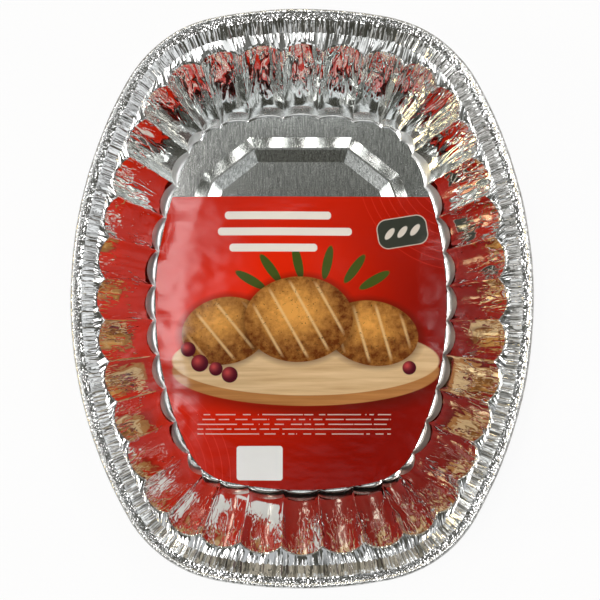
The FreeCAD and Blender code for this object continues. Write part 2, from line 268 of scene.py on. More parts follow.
pan = {
    "columns": 1152,
    "floorColumns": 288,
    "flutes": 36,
    "pleats": 288,
    "foil": 0.15,
    "rimArcs": (182.75, 228.5, 350.0, 102.0, 362.0),
    "wallArcs": (163.3, 203.4, 335.0, 80.0, 332.0),
    "floorArcs": (130.3, 166.0, 300.0, 52.0, 310.0),
    "rimHeight": 78.0,
    "beadRadius": 2.1,
    "beadTurn": 315.0,
    "landDrop": 1.0,
    "landWidth": 8.7,
    "riserWidth": 9.1,
    "ledgeHeight": 71.5,
    "bendRise": 1.0,         # the small slope where the wall turns into the ledge
    "bendWidth": 1.05,
    "landTilt": 0.65,        # how far the land falls towards the middle
    "wallLean": 28.8,
    "wallFluteDepth": 6.3,
    "footFluteDepth": 6.0,
    "footHeight": 7.0,
    "floorFluteDepth": 3.0,
    "fluteRound": 0.43,      # square of the sine of half the angle that a flute's arc spans
    "pleatSway": (45.0, 2.0),              # noise per metre, and how many pleats it shifts them by
    "pleatUneven": (90.0, 2.4, 0.2),       # noise per metre, its gain, and what is taken off
    "lipHeight": 0.3,        # small raised line along the edge of the floor
    "lipWidth": 1.0,
    "endFill": (3.6, 2.4),   # how far the foot of the wall comes in at the two ends, and less of it at the cusps
    "endFrom": (120.0, 180.0),             # where along the pan that begins and is whole
    "ribCorners": ((99.5, 48.0), (77.3, 105.8), (41.0, 134.5)),
    "ribHeight": 3.5,
    "ribTop": 1.8,
    "ribOuterSlope": 9.6,
    "ribInnerSlope": 10.2,
    "foldAngle": 0.1,        # edges that bend by more radians than this stay sharp, away from rounded stretches
}
panInputs = {
    "Pleat Depth": 1.4 * mm,
    "Ledge Crimp": 0.3 * mm,
    "Fine Crimp": 0.7 * mm,
    "Wall Dents": 1.4 * mm,
    "Wall Creases": 0.4 * mm,
    "Cusp Kinks": 4.0 * mm,
    "Rim Pebbles": 0.4 * mm,
    "Rim Wobble": 0.9 * mm,
    "Floor Waves": 0.16 * mm,
    "Seed": 4.0,
}
creasing = {                 # noises per metre, the share of that along the height, and places in metres
    "swerve": (24.0, 0.03),                # and how far it turns the streaks aside
    "streaks": 0.18,
    "dents": 70.0,
    "ridges": (125.0, 9.0),                # and how sharp they are
    "patches": (30.0, 0.7),
    "kinks": (75.0, 1.1, 0.46),            # the last is the level that stays where it is
    "crimps": (330.0, 0.12),
    "wobble": 26.0,
    "pebbles": (400.0, 0.5),
    "waves": 38.0,
    "folds": 42.0,
    "high": (0.012, 0.045),                # where the creases grow up the wall
    "farEnd": (0.06, 0.16),                # where the far end begins and is whole
    "rightSide": (-0.12, 0.1, 0.8, 1.5),   # from left to right, and the share of the creases there
    "rightKinks": (-0.06, 0.08, 0.3, 1.0),
}
panRows = (
    ("middle", 6), ("ribInner", 2), ("ribFlat", 1), ("ribOuter", 2), ("floor", 2), ("lipIn", 1), ("lipOut", 1),
    ("foot", 2), ("wall", 19), ("bend", 1), ("ledge", 2), ("riser", 3), ("land", 2), ("bead", 7),
)
panSpans = {}
rowCount = 0
for stretch, count in panRows:
    panSpans[stretch] = (float(rowCount), float(rowCount + count))
    rowCount += count


def ribSides():
    # distance from the middle and direction of each side of the rib in one quarter
    corners = [(x * mm, y * mm) for x, y in pan["ribCorners"]]
    sides = [(corners[0][0], 0.0), (corners[2][1], pi / 2)]
    for (x1, y1), (x2, y2) in zip(corners, corners[1:]):
        normal = atan2(x1 - x2, y2 - y1)
        sides.append((x1 * cos(normal) + y1 * sin(normal), normal))
    return sides


def ribPoint(g, quarter, odd, through, outwards):
    # the twelve-sided line of the rib, moved outwards; its corners fall on columns of the floor
    corners = [(x * mm, y * mm) for x, y in pan["ribCorners"]]
    turns = [0.0] + [atan2(y, x) for x, y in corners] + [pi / 2]
    shares = (0.0, 1 / 6, 1 / 2, 5 / 6, 1.0)
    fold = 0.0
    for start, stop, low, high in zip(shares, shares[1:], turns, turns[1:]):
        fold = g.ramp(through, start, stop, 0.0, high - low) + fold
    reach = None
    for away, normal in ribSides():
        crossing = (outwards + away) / g.math("MAXIMUM", g.math("COSINE", fold - normal), 0.01)
        reach = crossing if reach is None else g.math("MINIMUM", reach, crossing)
    cosine, sine = facingOf(g, quarter, odd, fold)
    return reach * cosine, reach * sine


def pressPan(foil):
    rim = ovalOf(*[value * mm for value in pan["rimArcs"]])
    wall = ovalOf(*[value * mm for value in pan["wallArcs"]])
    floor = ovalOf(*[value * mm for value in pan["floorArcs"]])
    sizes = dict(panInputs, Foil=foil)
    tree, g, size = startTree("pressPan", sizes)
    grid, share, row = gridShares(g, pan["columns"], rowCount)

    # how far through each stretch of the section a row is, from 0 to 1
    part = {name: g.ramp(row, *span) for name, span in panSpans.items()}

    # towards the middle the columns are drawn together, and merged later
    fewer = g.math("ROUND", share * float(pan["floorColumns"])) / float(pan["floorColumns"])
    onFloor = part["floor"] < 0.99
    share = share + onFloor * (fewer - share)
    quarter, odd, through = quarterOf(g, share)
    foldWall = foldAt(g, wall, through)
    foldRim = foldAt(g, rim, through)
    facingWall = facingOf(g, quarter, odd, foldWall)
    facingRim = facingOf(g, quarter, odd, foldRim)

    # each flute is an arc, from cusp to cusp, with its crest on a whole phase
    phase = (share * float(pan["flutes"]) + 0.5) % 1.0 * 2.0 - 1.0
    bow = 1.0 - g.math("SQRT", 1.0 - phase * phase * pan["fluteRound"])
    bow = bow / (1.0 - sqrt(1.0 - pan["fluteRound"]))
    fluteDepth = part["wall"] * ((pan["wallFluteDepth"] - pan["footFluteDepth"]) * mm)
    fluteDepth = fluteDepth + pan["footFluteDepth"] * mm

    # the three ovals; the crease, pleats and roll of the rim are insets of the outer one
    lipWidth = pan["lipWidth"] * mm
    floorInset = (1.0 - part["lipOut"]) * lipWidth + (1.0 - part["lipIn"]) * lipWidth
    floorInset = floorInset + bow * (pan["floorFluteDepth"] * mm)
    floorX, floorY = ovalPoint(g, floor, foldWall, facingWall, floorInset)
    under = pan["bendRise"] * mm * pan["wallLean"] / (pan["ledgeHeight"] - pan["footHeight"])
    wallInset = (1.0 - part["wall"]) * (pan["wallLean"] * mm - under) + under + bow * fluteDepth
    wallInset = wallInset - part["bend"] * (pan["bendWidth"] * mm)
    ringX, ringY = ovalPoint(g, wall, foldWall, facingWall, 0.0)
    endStart, endWhole = [value * mm for value in pan["endFrom"]]
    atEnd = g.ramp(abs(ringY), endStart, endWhole, smooth=True) * (1.0 - part["wall"]) ** 2.0
    fill, lessFill = [value * mm for value in pan["endFill"]]
    wallInset = wallInset + atEnd * (fill - bow * lessFill)
    wallX, wallY = ovalPoint(g, wall, foldWall, facingWall, wallInset)

    ring = g.join(ringX, ringY, size["Seed"])
    swayScale, sway = pan["pleatSway"]
    unevenScale, gain, less = pan["pleatUneven"]
    pleat = g.wave(share * float(pan["pleats"]) + g.noise(ring, swayScale, 1.0) * sway)
    uneven = g.noise(ring, unevenScale, 2.0) * gain - less
    atFoot = part["ledge"] - part["riser"]
    land = (pan["rimHeight"] - pan["landDrop"]) * mm
    radius = pan["beadRadius"] * mm
    middle = pan["rimHeight"] * mm - radius
    lift = asin((land - middle) / radius)
    roll = part["bead"] * radians(pan["beadTurn"]) + lift
    rolled = g.math("COSINE", roll) * radius - cos(lift) * radius
    rimInset = (pan["landWidth"] + pan["riserWidth"]) * mm - part["riser"] * (pan["riserWidth"] * mm)
    rimInset = rimInset - part["land"] * (pan["landWidth"] * mm - radius - cos(lift) * radius) + rolled
    rimInset = rimInset - pleat * uneven * size["Pleat Depth"] * atFoot
    rimX, rimY = ovalPoint(g, rim, foldRim, facingRim, rimInset)

    # the floor and its rib
    flat = pan["foil"] * mm
    halfTop = pan["ribTop"] / 2
    outwards = part["ribInner"] * (pan["ribInnerSlope"] * mm) + part["ribFlat"] * (pan["ribTop"] * mm)
    outwards = outwards + part["ribOuter"] * (pan["ribOuterSlope"] * mm) - (halfTop + pan["ribInnerSlope"]) * mm
    ribX, ribY = ribPoint(g, quarter, odd, through, outwards)
    ribX = ribX * part["middle"]
    ribY = ribY * part["middle"]

    level = flat + (part["ribInner"] - part["ribOuter"]) * (pan["ribHeight"] * mm)
    level = level + (part["lipIn"] - part["lipOut"]) * (pan["lipHeight"] * mm)
    level = level + part["foot"] * (pan["footHeight"] * mm - flat)
    level = level + part["wall"] * ((pan["ledgeHeight"] - pan["footHeight"] - pan["bendRise"]) * mm)
    level = level + part["bend"] * (pan["bendRise"] * mm)
    level = level + part["riser"] * (land - (pan["ledgeHeight"] + pan["landTilt"]) * mm)
    level = level + part["land"] * (pan["landTilt"] * mm)
    level = level + g.math("SINE", roll) * radius - sin(lift) * radius
    level = level + (pleat - 0.5) * uneven * size["Ledge Crimp"] * atFoot

    place = g.join(ribX, ribY, level)
    for name, x, y in (("floor", floorX, floorY), ("foot", wallX, wallY), ("ledge", rimX, rimY)):
        place = g.blend(part[name], place, g.join(x, y, level))

    # row, ring and cusp are kept on the points, for the creases and the material
    made = store(g, grid, "row", row)
    made = store(g, made, "ring", ring, "FLOAT_VECTOR")
    made = store(g, made, "cusp", bow)
    made = g.take("GeometryNodeSetPosition", None, {"Geometry": made, "Position": place})
    made = g.take("GeometryNodeMergeByDistance", None, {"Geometry": made, "Distance": mergeWithin})
    made = g.take("GeometryNodeFlipFaces", None, {"Mesh": made})
    made = g.take("GeometryNodeSetShadeSmooth", None, {"Geometry": made})
    line = stored(g, "row")
    foot, top = panSpans["wall"]
    inWall = abs(line - (foot + top) / 2) < (top - foot) / 2 - 0.3
    rounded = g.math("MAXIMUM", inWall, line > panSpans["land"][1] + 0.3)
    folded = (g.take("GeometryNodeInputMeshEdgeAngle") > pan["foldAngle"]) * (1.0 - rounded)
    made = g.take("GeometryNodeSetShadeSmooth", {"domain": "EDGE"}, {
        "Geometry": made, "Selection": folded, "Shade Smooth": False})
    made = crinkle(g, made, size)
    endTree(g, made, size["Foil"])
    return runTree(tree, "foilPan", sizes, pan["foil"] * mm)


def crinkle(g, made, size):
    # moves each point along its normal, by less than a few millimetres
    row = stored(g, "row")
    ringX, ringY, seed = g.split(stored(g, "ring", "FLOAT_VECTOR"))
    x, y, z = g.split(g.take("GeometryNodeInputPosition"))
    foot, top = panSpans["wall"]
    riserTop = panSpans["riser"][1]
    farEnd = g.ramp(ringY, *creasing["farEnd"])

    # dents and creases that run down the wall, more of them at the right and at the far end
    onWall = g.between(row, foot, foot + 3.0, top - 1.0, top + 1.0)
    high = g.ramp(z, *creasing["high"]) * 0.75 + 0.25
    rough = g.ramp(ringX, *creasing["rightSide"])
    swerveScale, reach = creasing["swerve"]
    swerve = (g.noise(g.join(ringX, ringY, z + seed), swerveScale, 1.0) - 0.5) * reach
    streaks = g.join(ringX + swerve, ringY + swerve, z * creasing["streaks"] + seed)
    dents = g.noise(streaks, creasing["dents"], 1.0, 0.5) - 0.5
    ridgeScale, sharpness = creasing["ridges"]
    ridges = g.ridge(g.noise(streaks, ridgeScale, 1.0, 0.4), sharpness)
    patchScale, tall = creasing["patches"]
    patches = g.ramp(g.noise(g.join(ringX, ringY, z * tall - seed), patchScale, 1.0), 0.35, 0.6)
    amount = onWall * dents * size["Wall Dents"] * (0.35 + farEnd * 0.9) * rough
    amount = amount + onWall * high * ridges * (patches + farEnd) * rough * size["Wall Creases"]

    # kinks along the cusps
    kinkScale, tall, level = creasing["kinks"]
    kinks = g.noise(g.join(ringX, ringY, z * tall - seed), kinkScale, 1.0, 0.5) - level
    kinks = kinks * stored(g, "cusp") ** 2.0 * g.ramp(ringX + farEnd * 0.1, *creasing["rightKinks"])
    amount = amount + onWall * kinks * size["Cusp Kinks"]

    # crimps on the ledge and on the slope above it
    onCrimps = g.between(row, panSpans["ledge"][0] - 1.0, panSpans["ledge"][1], riserTop - 1.0, riserTop + 0.5)
    crimpScale, tall = creasing["crimps"]
    crimps = g.noise(g.join(ringX, ringY, z * tall - seed), crimpScale, 1.0, 0.5) - 0.5
    amount = amount + onCrimps * crimps * size["Fine Crimp"] * (1.0 - farEnd * 0.3)

    # pebbles and a slow wobble on the rim
    onRim = g.ramp(row, riserTop - 1.0, panSpans["land"][0] + 1.0)
    pebbleScale, tall = creasing["pebbles"]
    pebbles = g.noise(g.join(x, y, z * tall + seed), pebbleScale, 1.0, 0.5) - 0.5
    wobble = g.noise(g.join(ringX, ringY, seed), creasing["wobble"], 2.0, 0.5) - 0.5
    amount = amount + onRim * (pebbles * size["Rim Pebbles"] + wobble * size["Rim Wobble"])

    # slow waves on the floor, inside the rib and outside it, and never below the table
    ribFoot, floorEdge = panSpans["ribOuter"][0], panSpans["floor"][1]
    onFloor = g.ramp(row, 2.0, panSpans["middle"][1], 1.0, 0.0)
    onFloor = onFloor + g.between(row, ribFoot, ribFoot + 1.0, floorEdge - 1.0, floorEdge)
    waves = g.noise(g.join(x, y, seed), creasing["waves"], 1.0, 0.5) - 0.5
    folds = g.noise(g.join(ringX, ringY, seed), creasing["folds"], 1.0, 0.5) - 0.5
    lifted = g.math("MAXIMUM", waves + folds * 1.5 + 0.25, 0.0)
    amount = amount + onFloor * lifted * size["Floor Waves"]
    offset = g.scale(g.take("GeometryNodeInputNormal"), amount)
    return g.take("GeometryNodeSetPosition", None, {"Geometry": made, "Offset": offset})


foilLook = {                 # noises per metre, the share of that along the height, and the sharpness
    "grain": 1000.0,
    "lines": (1100.0, 90.0, 900.0),        # rolling lines, as noise along X, Y and Z
    "squiggles": (190.0, 0.24, 13.0),
    "patches": 45.0,
    "crimps": (210.0, 0.1, 7.5),
    "pebbles": 600.0,
    # where the painted shade in the folds between the crimps lies
    "folds": (300.0, 0.1, 0.3),            # the last is a shift
    "floorHeights": (0.004, 0.02, 0.012),  # heights of the bumps in millimetres: grain, grain on the floor, lines
    "squiggleHeights": (0.26, 0.42),       # at the left and at the right
    "crimpHeights": (0.62, 0.2),           # and how much lower at the far end
    "pebbleHeights": (0.32, 0.35),         # on the land, and added on the bead
    "strip": (0.05, 0.1),                  # places in metres: where the smooth strip of the floor ends
    "wallFrom": (0.01, 0.03),
    "wallHigh": (0.045, 0.07),
    "leftToRight": (-0.1, 0.1),
    "farEnd": (0.1, 0.17),
    "footEnds": (0.15, 0.185),
    "nearRight": (0.6, 0.8, 0.02, 0.2),    # share of X and of Y, then from where to where
    "roughness": 0.06,
    "floorRoughness": 0.09,
    "footRoughness": (0.42, 0.12),         # along the sides and at the ends
    "rimRoughness": 0.04,
    "grainRoughness": 0.05,
    "foil": (0.88, 0.88, 0.87, 1.0),
    "floorDark": (0.45, 0.47, 0.45, 1.0),
    "floorLight": (0.95, 0.97, 0.94, 1.0),
    "wall": (0.8, 0.8, 0.78, 1.0),
    "bead": (0.64, 0.64, 0.62, 1.0),
    "foot": (0.66, 0.6, 0.55, 1.0),
    # the colour of the painted shade in the folds
    "fold": (0.2, 0.2, 0.18, 1.0),
}


def foilFinish():
    look = foilLook
    material, g = newMaterial("brightFoil")
    where = g.take("ShaderNodeTexCoord", out=3)
    z = g.split(where)[2]
    row = g.take("ShaderNodeAttribute", {"attribute_name": "row"}, out=2)
    ringX, ringY = g.split(g.take("ShaderNodeAttribute", {"attribute_name": "ring"}, out=1))[:2]

    # where each kind of surface lies
    wallTop = panSpans["wall"][1]
    footStart, footStop = panSpans["foot"]
    onFloor = g.ramp(row, *panSpans["lipIn"], 1.0, 0.0)
    onStrip = g.ramp(row, panSpans["ribOuter"][1], panSpans["floor"][1] - 0.2) * (1.0 - g.ramp(ringY, *look["strip"]))
    onGrain = onFloor * (1.0 - onStrip * 0.8)
    onFoot = g.between(row, footStart - 0.5, footStart, footStop, footStop + 0.3)
    onWall = g.ramp(z, *look["wallFrom"]) * g.ramp(row, wallTop, panSpans["bend"][1], 1.0, 0.0)
    onRim = g.ramp(row, panSpans["riser"][1] - 1.0, panSpans["land"][0] + 1.0)
    onCrimps = g.ramp(row, panSpans["bend"][1], panSpans["ledge"][1]) * (1.0 - onRim)
    onBead = g.ramp(row, panSpans["land"][1] - 0.5, panSpans["bead"][0] + 1.0)
    farEnd = g.ramp(ringY, *look["farEnd"])
    alongX, againstY, start, whole = look["nearRight"]
    nearRight = g.ramp(ringX * alongX - ringY * againstY, start, whole)

    # bumps: grain and rolling lines on the floor, squiggles on the wall, crimps and pebbles on the rim
    grain = g.noise(where, look["grain"], 2.0, 0.6)
    lines = g.noise(g.vector("MULTIPLY", where, look["lines"]), 1.0, 2.0, 0.6)
    scale, slow, sharpness = look["squiggles"]
    squiggles = g.ridge(g.noise(g.join(ringX, ringY, z * slow), scale, 2.0, 0.5), sharpness)
    patches = g.ramp(g.noise(g.join(ringX, ringY, z), look["patches"], 1.0), 0.4, 0.6)
    squiggles = squiggles * (patches + g.ramp(z, *look["wallHigh"]) * 0.6)
    scale, slow, sharpness = look["crimps"]
    crimps = g.ridge(g.noise(g.join(ringX, ringY, z * slow), scale, 1.5, 0.6), sharpness)
    pebbles = g.noise(where, look["pebbles"], 1.0, 0.5)
    plainGrain, floorGrain, floorLines = look["floorHeights"]
    height = grain * (plainGrain + onGrain * floorGrain) + lines * onGrain * floorLines
    height = height + squiggles * onWall * g.ramp(ringX, *look["leftToRight"], *look["squiggleHeights"])
    crimpHeight, lower = look["crimpHeights"]
    landPebbles, beadPebbles = look["pebbleHeights"]
    height = height + crimps * onCrimps * (crimpHeight - farEnd * lower)
    height = height + pebbles * (onRim * landPebbles + onBead * beadPebbles)
    bump = g.take("ShaderNodeBump", None, {"Strength": 1.0, "Distance": mm, "Height": height})

    roughness = look["roughness"] + onGrain * look["floorRoughness"]
    roughness = roughness + onFoot * g.ramp(abs(ringY), *look["footEnds"], *look["footRoughness"])
    roughness = roughness + onRim * look["rimRoughness"] + (grain - 0.5) * look["grainRoughness"]

    # colours, with painted shade in the folds between the crimps, most at the near right corner
    speckle = g.ramp(grain * 0.5 + lines * 0.5, 0.38, 0.62)
    colour = g.tint(onFloor, look["foil"], g.tint(speckle, look["floorDark"], look["floorLight"]))
    colour = g.tint(onWall, colour, look["wall"])
    colour = g.tint(onBead, colour, look["bead"])
    colour = g.tint(onFoot * nearRight, colour, look["foot"])
    # painted shade: the folds between the crimps are darkened in the colour
    scale, slow, shift = look["folds"]
    folds = g.noise(g.join(ringX, ringY, z * slow + shift), scale, 1.0, 0.5)
    folds = g.ramp(folds, 0.5, 0.42) * onCrimps * (0.45 + nearRight * 0.4)
    colour = g.tint(folds, colour, look["fold"])
    return endMaterial(g, material, {"Base Color": colour, "Metallic": 1.0, "Roughness": roughness, "Normal": bump})


foil = foilFinish()
foilPan = pressPan(foil)
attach(foilPan, "root")
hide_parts("foil_pan")

# The loose printed sheet. Its print is plain fields and simple shapes, in millimetres

label = {
    "arcs": pan["floorArcs"],
    "gap": 3.7,              # how far inside the floor's edge it was cut
    "head": 92.5,
    "rest": 3.65,            # height of the rib's top
    "thickness": 0.3,
    "most": 3.0,             # the edge droops no further than this
    "droopReach": 28.0,      # how far past the rib the edge droops fully
    "columns": 120,
    "rows": 130,
    "waves": (13.0, 0.42),                 # noise per metre, and the level that stays flat
    "ripples": (42.0, 0.6, 1.4),           # noise per metre, and how much of it along X and Y
    "unevenDroop": 22.0,
    "bulge": (-34.0, 38.0, 104.0),         # middle and reach
}
labelInputs = {
    "Wave Height": 1.6 * mm,
    "Ripple Height": 0.85 * mm,
    "Bulge Height": 4.2 * mm,
    "Edge Droop": 2.7 * mm,
    "Seed": 2.0,
}


def cutLabel(paper):
    oval = ovalOf(*[value * mm for value in label["arcs"]])
    gap, head = label["gap"] * mm, label["head"] * mm
    side, corner, end = [oval[name] - gap for name in ("sideRadius", "cornerRadius", "endRadius")]
    foot = oval["endY"] + end
    sizes = dict(labelInputs, Paper=paper)
    tree, g, size = startTree("cutLabel", sizes)
    grid, across, row = gridShares(g, label["columns"], label["rows"])
    along = row / float(label["rows"])

    # rows are closer together towards the rounded foot, where the last one is a point
    y = head - g.math("SINE", along * (pi / 2)) * (head + foot)
    down = abs(y)
    isSide = down < oval["cornerY"] + corner * sin(oval["sideTurn"])
    isEnd = down > oval["endY"] + end * sin(oval["endTurn"])
    widths = []
    for centreX, centreY, reach in ((oval["sideX"], 0.0, side), (oval["cornerX"], oval["cornerY"], corner),
                                    (0.0, oval["endY"], end)):
        rest = g.math("MAXIMUM", reach * reach - (down - centreY) ** 2.0, 0.0)
        widths.append(g.math("SQRT", rest) + centreX)
    halfWidth = isSide * widths[0] + isEnd * widths[2] + (1.0 - isSide - isEnd) * widths[1]
    x = (across * 2.0 - 1.0) * halfWidth

    # gentle waves, and an edge that droops where it passes the rib
    waveScale, flatLevel = label["waves"]
    slow = g.noise(g.join(x, y, size["Seed"]), waveScale, 1.0, 0.4) - flatLevel
    rippleScale, alongX, alongY = label["ripples"]
    ripple = g.noise(g.join(x * alongX, y * alongY, size["Seed"]), rippleScale, 2.0, 0.5)
    past = 0.0
    for away, normal in ribSides():
        past = g.math("MAXIMUM", abs(x) * cos(normal) + down * sin(normal) - away, past)
    bulgeX, bulgeY, bulgeReach = [value * mm for value in label["bulge"]]
    away = g.math("SQRT", (x - bulgeX) ** 2.0 + (y - bulgeY) ** 2.0)
    wave = g.math("MAXIMUM", slow, 0.0) * size["Wave Height"] + ripple * size["Ripple Height"]
    wave = wave + g.ramp(away, bulgeReach, 0.0, smooth=True) * size["Bulge Height"]
    uneven = g.ramp(g.noise(g.join(x, y, size["Seed"] * 2.0), label["unevenDroop"], 1.0), 0.35, 0.65)
    droop = g.ramp(past, 0.0, label["droopReach"] * mm) ** 1.7 * (uneven + 0.3)
    droop = droop * g.ramp(x, -0.05, 0.05, 1.0, 0.6) * size["Edge Droop"]
    droop = g.math("MINIMUM", droop, label["most"] * mm)
    z = wave - droop + (label["rest"] + label["thickness"]) * mm
    made = g.take("GeometryNodeSetPosition", None, {"Geometry": grid, "Position": g.join(x, y, z)})
    made = g.take("GeometryNodeMergeByDistance", None, {"Geometry": made, "Distance": mergeWithin})
    made = g.take("GeometryNodeFlipFaces", None, {"Mesh": made})
    endTree(g, made, size["Paper"])
    return runTree(tree, "paperLabel", sizes, label["thickness"] * mm)


prints = {                   # places and half sizes in millimetres, turns in radians
    "fall": (0.8, 0.5, -60.0, 120.0),      # the red darkens along X and against Y, from here to there
    "glow": (-4.0, -30.0, 112.0, 98.0),    # an oval inside which it darkens less
    "arcs": ((138.0, 118.0), (-150.0, -150.0)),
    "arcStep": 7.0,
    "arcReach": (30.0, 34.0, 92.0),
    "tray": (4.0, -50.0, 116.0, 30.0),
    "trayEdge": 9.0,
    "trayShadow": (15.0, 4.0, 2.0),
    "leaves": 6,
    "leaf": (10.0, 4.0, 62.0, 32.0, 15.0, 4.0),
    "rolls": ((-66.0, -24.0, 38.0, 29.0, 0.22), (62.0, -26.0, 40.0, 28.0, -0.18), (-2.0, -14.0, 47.0, 37.0, 0.05)),
    "cuts": (21.0, 1.2),
    "berries": (
        (-98.0, -40.0, 6.5), (-88.0, -52.0, 7.5), (-74.0, -57.0, 6.0), (-62.0, -62.0, 7.0), (94.0, -56.0, 6.0)),
    "bars": ((-20.0, 76.0, 46.0), (-14.0, 62.0, 58.0), (-24.0, 48.0, 38.0)),
    "bar": (3.4, 3.0),
    "lozenge": (88.0, 62.0, 22.0, 13.0, 9.0, 0.16),
    "lozengeLine": 0.8,
    "spots": (-11.0, 0.0, 11.0),
    "spot": (6.0, 2.6, 0.9),
    "lines": (-6.0, -105.0, 84.0, 10.4, 0.5),
    "lineStep": (124.0, 4.2, 0.45),
    "box": (-36.0, -139.0, 20.0, 15.0, 2.5),
}
inks = {
    "red": (0.82, 0.02, 0.001, 1.0),
    "darkRed": (0.23, 0.004, 0.001, 1.0),
    "arc": (0.8, 0.05, 0.03, 1.0),
    "trayShadow": (0.05, 0.006, 0.002, 1.0),
    "trayEdge": ((0.2, 0.06, 0.012, 1.0), (0.66, 0.31, 0.1, 1.0)),
    "tray": ((0.4, 0.2, 0.07, 1.0), (0.95, 0.72, 0.42, 1.0)),
    "leaf": (0.06, 0.09, 0.012, 1.0),
    "crust": ((0.13, 0.03, 0.004, 1.0), (0.8, 0.37, 0.08, 1.0)),
    "cut": (0.86, 0.58, 0.26, 1.0),
    "herb": (0.06, 0.035, 0.008, 1.0),
    "rollShadow": (0.04, 0.01, 0.003, 1.0),
    "berry": ((0.07, 0.004, 0.012, 1.0), (0.5, 0.06, 0.06, 1.0)),
    "bar": (0.86, 0.8, 0.72, 1.0),
    "lozengeLine": (0.6, 0.5, 0.42, 1.0),
    "lozenge": (0.04, 0.045, 0.034, 1.0),
    "spot": (0.7, 0.64, 0.56, 1.0),
    "line": (0.85, 0.74, 0.66, 1.0),
    "box": (0.8, 0.8, 0.78, 1.0),
}


def printedPaper():
    material, g = newMaterial("printedPaper")
    where = g.vector("MULTIPLY", g.take("ShaderNodeTexCoord", out=3), (1 / mm, 1 / mm, 1 / mm))
    x, y = g.split(where)[:2]

    def turned(centreX, centreY, turn):
        u, v = x - centreX, y - centreY
        return u * cos(turn) + v * sin(turn), v * cos(turn) - u * sin(turn)

    def inside(distance, soft=0.25):
        return g.ramp(distance, soft, -soft)

    def ellipse(centreX, centreY, a, b, turn=0.0):
        u, v = turned(centreX, centreY, turn)
        u, v = u / a, v / b
        return (g.math("SQRT", u * u + v * v) - 1.0) * min(a, b)

    def panel(centreX, centreY, a, b, corner, turn=0.0):
        u, v = turned(centreX, centreY, turn)
        u = g.math("MAXIMUM", abs(u) - (a - corner), 0.0)
        v = g.math("MAXIMUM", abs(v) - (b - corner), 0.0)
        return g.math("SQRT", u * u + v * v) - corner

    # the red field, lighter at the upper left and darker at the lower right, with faint arcs in two corners
    alongX, againstY, start, stop = prints["fall"]
    fall = g.ramp(x * alongX - y * againstY, start, stop, smooth=True)
    fall = fall + (1.0 - fall) * g.ramp(ellipse(*prints["glow"]), -30.0, 8.0, 0.0, 0.3, smooth=True)
    colour = g.tint(fall, inks["red"], inks["darkRed"])
    arcs = 0.0
    step = prints["arcStep"]
    arcStart, arcWhole, arcStop = prints["arcReach"]
    for centreX, centreY in prints["arcs"]:
        away = ellipse(centreX, centreY, 1.0, 1.0)
        rings = inside(abs((away % step) - step / 2) - 0.35) * inside(away - arcStop)
        arcs = g.math("MAXIMUM", rings * g.ramp(away, arcStart, arcWhole), arcs)
    colour = g.tint(arcs * 0.35, colour, inks["arc"])

    # the oval tray with its shadow, its edge and its grain
    trayX, trayY, trayA, trayB = prints["tray"]
    fallen, wider, deeper = prints["trayShadow"]
    grain = g.noise(g.vector("MULTIPLY", where, (0.012, 0.22, 0.0)), 1.0, 4.0, 0.6)
    shadow = inside(ellipse(trayX, trayY - fallen, trayA + wider, trayB + deeper), 5.0)
    colour = g.tint(shadow * 0.6, colour, inks["trayShadow"])
    edge = inside(ellipse(trayX, trayY - prints["trayEdge"], trayA, trayB))
    colour = g.tint(edge, colour, g.tint(grain, *inks["trayEdge"]))
    colour = g.tint(inside(ellipse(trayX, trayY, trayA, trayB)), colour, g.tint(grain, *inks["tray"]))

    # leaves, rolls and berries on the tray
    leafX, leafY, fanX, fanY, leafA, leafB = prints["leaf"]
    for number in range(prints["leaves"]):
        turn = radians(150.0 - number * 24.0)
        leaf = ellipse(leafX + fanX * cos(turn), leafY + fanY * sin(turn), leafA, leafB, turn)
        colour = g.tint(inside(leaf), colour, inks["leaf"])
    speck = g.noise(where, 0.16, 5.0, 0.65)
    herbs = g.ramp(g.noise(where, 0.55, 2.0, 0.5), 0.66, 0.7)
    cutStep, cutHalf = prints["cuts"]
    for rollX, rollY, rollA, rollB, turn in prints["rolls"]:
        away = ellipse(rollX, rollY, rollA, rollB, turn)
        lit = g.ramp(ellipse(rollX - 6.0, rollY + 8.0, rollA * 0.9, rollB * 0.8, turn), 2.0, -24.0)
        u, v = turned(rollX, rollY, turn)
        cuts = inside(abs(((u + v * 0.5) % cutStep) - cutStep / 2) - cutHalf, 0.8) * inside(away + 5.0, 3.0)
        crust = g.tint(lit * 0.9 + (speck - 0.5) * 1.3 + 0.12, *inks["crust"])
        crust = g.tint(cuts * 0.7, crust, inks["cut"])
        crust = g.tint(herbs * 0.8, crust, inks["herb"])
        colour = g.tint(inside(away - 3.0, 2.5) * 0.5, colour, inks["rollShadow"])
        colour = g.tint(inside(away), colour, crust)
    for berryX, berryY, reach in prints["berries"]:
        lit = g.ramp(ellipse(berryX - 2.0, berryY + 2.0, 1.0, 1.0), reach, 0.0)
        berry = g.tint(lit * lit, *inks["berry"])
        colour = g.tint(inside(ellipse(berryX, berryY, reach, reach)), colour, berry)

    # plain bars
    barHalf, barCorner = prints["bar"]
    for barX, barY, reach in prints["bars"]:
        colour = g.tint(inside(panel(barX, barY, reach, barHalf, barCorner)), colour, inks["bar"])

    # a grey lozenge with three spots
    markX, markY, markA, markB, markCorner, markTurn = prints["lozenge"]
    line = prints["lozengeLine"]
    mark = panel(markX, markY, markA, markB, markCorner, markTurn)
    colour = g.tint(inside(mark), colour, inks["lozengeLine"])
    mark = panel(markX, markY, markA - line, markB - line, markCorner - line, markTurn)
    colour = g.tint(inside(mark), colour, inks["lozenge"])
    for along in prints["spots"]:
        spot = ellipse(markX + along, markY + along * markTurn, *prints["spot"])
        colour = g.tint(inside(spot), colour, inks["spot"])

